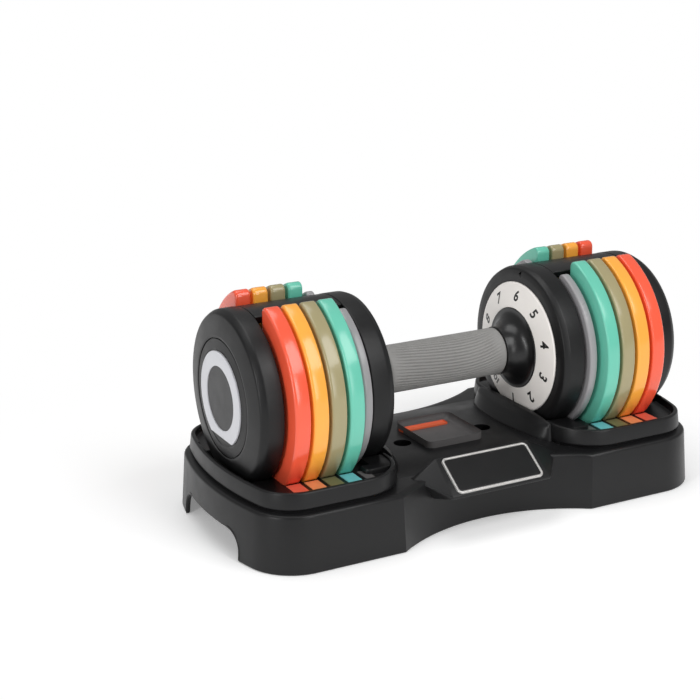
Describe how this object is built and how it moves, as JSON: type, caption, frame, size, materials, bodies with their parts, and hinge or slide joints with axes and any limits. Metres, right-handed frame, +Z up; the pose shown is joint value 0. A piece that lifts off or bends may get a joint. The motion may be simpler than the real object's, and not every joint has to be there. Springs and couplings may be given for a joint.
{
  "type": "adjustable dumbbell",
  "caption": "Adjustable dumbbell with coloured weight plates and a number dial on each head, resting in a black moulded base tray.",
  "frame": {"origin": "centre of the tray's footprint on the surface it stands on", "axes": "+X along the bar, -Y the front with the badge, +Z up"},
  "size_m": [0.3652, 0.172, 0.1631],
  "materials": {
    "tray_plastic": "black injection-moulded plastic with a fine satin grain",
    "foot_rubber": "black non-slip rubber",
    "badge_silver": "silver-painted raised frame",
    "badge_black": "bare satin black plate",
    "label_film": "bare grey film",
    "tag_orange": "orange printed tag, satin",
    "tag_amber": "light orange tag, satin",
    "tag_olive": "olive tag, satin",
    "tag_blue": "light blue tag, satin",
    "tag_grey": "grey tag, satin",
    "plate_orange": "glossy orange coating",
    "plate_amber": "glossy amber coating",
    "plate_olive": "glossy olive coating",
    "plate_teal": "glossy teal coating",
    "plate_grey": "satin grey coating",
    "bright_steel": "bright turned steel",
    "spring_steel": "drawn spring wire",
    "zinc_steel": "zinc-plated steel",
    "ring_silver": "pale silver satin ring",
    "badge_dark": "bare dark grey disc",
    "bush_bronze": "sintered bronze",
    "grip_rubber": "grey rubber with wavy grooves",
    "dial_ivory": "warm white plastic with black numbers",
    "cam_nylon": "black nylon",
    "hub_plastic": "smooth black plastic",
    "housing_plastic": "black satin plastic"
  },
  "bodies": {
    "tray_base": {"tray": "tray_plastic", "foot_pads": "foot_rubber", "badge_frame": "badge_silver", "badge_plate": "badge_black", "label_panel": "label_film", "tag_orange": "tag_orange", "tag_amber": "tag_amber", "tag_olive": "tag_olive", "tag_blue": "tag_blue", "tag_grey": "tag_grey", "left_plate_orange": "plate_orange", "left_plate_amber": "plate_amber", "right_plate_orange": "plate_orange", "right_plate_amber": "plate_amber"},
    "handle_frame": {"core_rod": "bright_steel", "rod_nuts": "bright_steel", "cover_screws": "bright_steel", "detent_balls": "bright_steel", "detent_springs": "spring_steel", "left_lock_spring": "spring_steel", "right_lock_spring": "spring_steel", "left_end_housing": "housing_plastic", "left_end_cap": "housing_plastic", "left_badge_ring": "ring_silver", "left_badge_disc": "badge_dark", "left_bridge": "housing_plastic", "left_inner_housing": "housing_plastic", "left_inner_cover": "housing_plastic", "left_bush": "bush_bronze", "right_end_housing": "housing_plastic", "right_end_cap": "housing_plastic", "right_badge_ring": "ring_silver", "right_badge_disc": "badge_dark", "right_bridge": "housing_plastic", "right_inner_housing": "housing_plastic", "right_inner_cover": "housing_plastic", "right_bush": "bush_bronze"},
    "selector": {"handle_tube": "zinc_steel", "grip": "grip_rubber", "cams_grey": "cam_nylon", "cams_teal": "cam_nylon", "cams_olive": "cam_nylon", "cams_amber": "cam_nylon", "cams_orange": "cam_nylon", "left_hub": "hub_plastic", "left_dial": "dial_ivory", "left_index_wheel": "zinc_steel", "left_cam_sleeve": "zinc_steel", "right_hub": "hub_plastic", "right_dial": "dial_ivory", "right_index_wheel": "zinc_steel", "right_cam_sleeve": "zinc_steel"},
    "left_grey_plate": {"left_plate_grey": "plate_grey"},
    "left_teal_plate": {"left_plate_teal": "plate_teal"},
    "left_olive_plate": {"left_plate_olive": "plate_olive"},
    "left_lock": {"left_lock_slider": "zinc_steel"},
    "right_grey_plate": {"right_plate_grey": "plate_grey"},
    "right_teal_plate": {"right_plate_teal": "plate_teal"},
    "right_olive_plate": {"right_plate_olive": "plate_olive"},
    "right_lock": {"right_lock_slider": "zinc_steel"}
  },
  "joints": [
    {"name": "lift", "type": "slide", "parent": "tray_base", "child": "handle_frame", "axis": [0, 0, 1], "range_m": [0, 0.25]},
    {"name": "dial_turn", "type": "hinge", "parent": "handle_frame", "child": "selector", "pos_m": [0, 0, 0.0975], "axis": [1, 0, 0], "range_deg": [-180, 144]},
    {"name": "left_grey_lift", "type": "slide", "parent": "tray_base", "child": "left_grey_plate", "axis": [0, 0, 1], "range_m": [0, 0.25]},
    {"name": "left_teal_lift", "type": "slide", "parent": "tray_base", "child": "left_teal_plate", "axis": [0, 0, 1], "range_m": [0, 0.25]},
    {"name": "left_olive_lift", "type": "slide", "parent": "tray_base", "child": "left_olive_plate", "axis": [0, 0, 1], "range_m": [0, 0.25]},
    {"name": "left_lock_slide", "type": "slide", "parent": "handle_frame", "child": "left_lock", "axis": [0, 0, -1], "range_m": [0, 0.003], "deforming": ["left_lock_spring"]},
    {"name": "right_grey_lift", "type": "slide", "parent": "tray_base", "child": "right_grey_plate", "axis": [0, 0, 1], "range_m": [0, 0.25]},
    {"name": "right_teal_lift", "type": "slide", "parent": "tray_base", "child": "right_teal_plate", "axis": [0, 0, 1], "range_m": [0, 0.25]},
    {"name": "right_olive_lift", "type": "slide", "parent": "tray_base", "child": "right_olive_plate", "axis": [0, 0, 1], "range_m": [0, 0.25]},
    {"name": "right_lock_slide", "type": "slide", "parent": "handle_frame", "child": "right_lock", "axis": [0, 0, -1], "range_m": [0, 0.003], "deforming": ["right_lock_spring"]}
  ],
  "couplings": [
    {"joint": "left_grey_lift", "follows": "lift", "ratio": 1},
    {"joint": "left_teal_lift", "follows": "lift", "ratio": 1},
    {"joint": "left_olive_lift", "follows": "lift", "ratio": 1},
    {"joint": "left_lock_slide", "follows": "lift", "ratio": 0.012},
    {"joint": "right_grey_lift", "follows": "lift", "ratio": 1},
    {"joint": "right_teal_lift", "follows": "lift", "ratio": 1},
    {"joint": "right_olive_lift", "follows": "lift", "ratio": 1},
    {"joint": "right_lock_slide", "follows": "lift", "ratio": 0.012}
  ]
}
